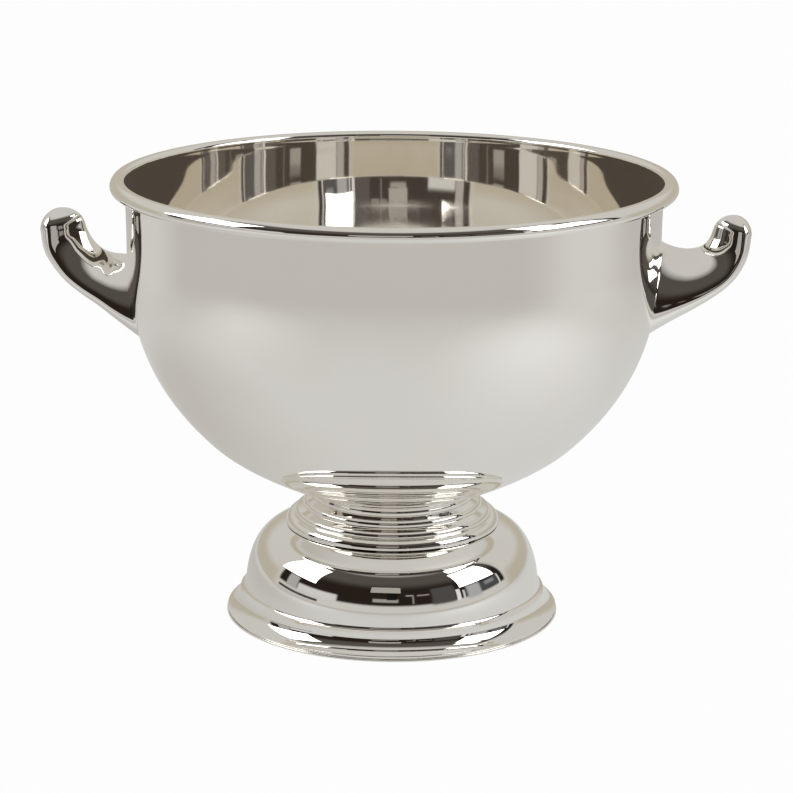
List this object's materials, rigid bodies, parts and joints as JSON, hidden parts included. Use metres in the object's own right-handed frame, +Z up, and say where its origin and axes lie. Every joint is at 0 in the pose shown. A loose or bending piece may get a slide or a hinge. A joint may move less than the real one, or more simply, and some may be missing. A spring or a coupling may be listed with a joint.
{
  "type": "silver champagne bucket",
  "caption": "Round open champagne bucket in polished silver plate, with horn handles, a rolled rim and a reeded neck on a domed foot.",
  "frame": {"origin": "centre of the standing ring, on the surface the bucket stands on", "axes": "+Z up along the bowl's axis, +X towards one handle, +Y towards the back"},
  "size_m": [0.3788, 0.3, 0.24],
  "materials": {
    "silver_bowl": "mirror polished silver plate",
    "silver_handle": "mirror polished silver plate on a casting",
    "silver_neck": "mirror polished silver plate",
    "silver_foot": "mirror polished silver plate",
    "silver_ring": "polished silver plate, rubbed underneath",
    "steel": "turned, unpolished",
    "brass": "turned, unpolished"
  },
  "bodies": {
    "root": {"bowl_shell": "silver_bowl", "rim_wire": "steel", "handle_left": "silver_handle", "handle_right": "silver_handle", "neck_collar": "silver_neck", "foot_dome": "silver_foot", "foot_ring": "silver_ring", "stud_boss": "brass", "tie_stud": "brass", "clamp_plate": "steel", "spring_washer": "steel", "hex_nut": "steel"}
  },
  "joints": []
}
